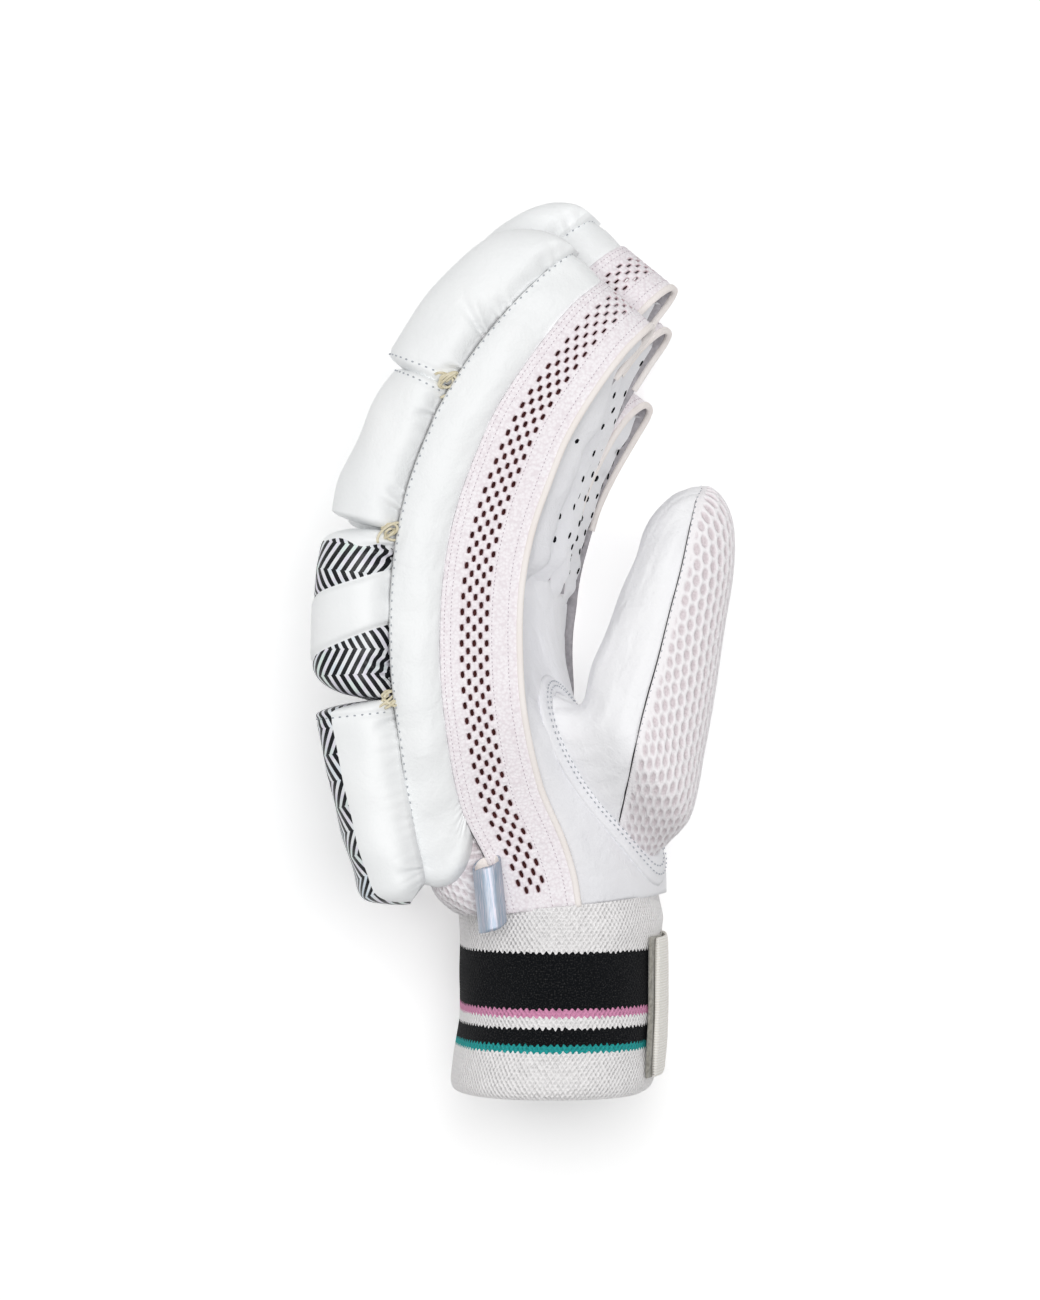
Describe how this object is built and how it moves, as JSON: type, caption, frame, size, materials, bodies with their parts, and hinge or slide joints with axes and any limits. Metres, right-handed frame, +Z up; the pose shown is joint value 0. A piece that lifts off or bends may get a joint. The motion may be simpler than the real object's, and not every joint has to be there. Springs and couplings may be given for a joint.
{
  "type": "cricket batting glove",
  "caption": "Left-hand cricket batting glove in white leather and mesh with padded finger rolls, a mesh-backed thumb and a striped knitted cuff, lying on its little-finger side.",
  "frame": {"origin": "on the floor under the middle of the knitted cuff, on the flat patch that the cuff rests on", "axes": "+X to the palm side, +Y along the hand to the fingertips, +Z up through the thumb side; the glove lies on its little-finger side"},
  "size_m": [0.1249, 0.2659, 0.1031],
  "materials": {
    "white_leather": "smooth semi-gloss white leather over foam",
    "patterned_leather": "white leather with a printed black and silver herringbone",
    "palm_leather": "soft matt white leather, perforated on the fingers",
    "gusset_knit": "open-hole knitted mesh, faintly pink white",
    "spacer_mesh": "thick honeycomb spacer mesh",
    "cuff_knit": "ribbed elastic knit, off-white with dark, pink and teal bands",
    "strap_web": "woven cream webbing",
    "loop_fleece": "grey-green loop pile",
    "silver_ribbon": "shiny silver woven ribbon"
  },
  "bodies": {
    "root": {"index_gusset": "gusset_knit", "index_side_wall": "white_leather", "index_tip_pad": "white_leather", "index_middle_pad": "white_leather", "index_knuckle_pad": "patterned_leather", "index_back_pad": "patterned_leather", "middle_gusset": "gusset_knit", "middle_side_wall": "white_leather", "middle_tip_pad": "white_leather", "middle_middle_pad": "white_leather", "middle_knuckle_pad": "patterned_leather", "middle_back_pad": "patterned_leather", "ring_gusset": "gusset_knit", "ring_side_wall": "white_leather", "ring_tip_pad": "white_leather", "ring_middle_pad": "white_leather", "ring_knuckle_pad": "patterned_leather", "ring_back_pad": "patterned_leather", "little_gusset": "gusset_knit", "little_side_wall": "white_leather", "little_tip_pad": "white_leather", "little_middle_pad": "white_leather", "little_knuckle_pad": "patterned_leather", "little_back_pad": "patterned_leather", "palm_leather": "palm_leather", "back_lining": "spacer_mesh", "thumb_leather": "palm_leather", "thumb_mesh": "spacer_mesh", "cuff": "cuff_knit", "loop_patch": "loop_fleece", "strap": "strap_web", "pull_tab": "silver_ribbon"}
  },
  "joints": []
}
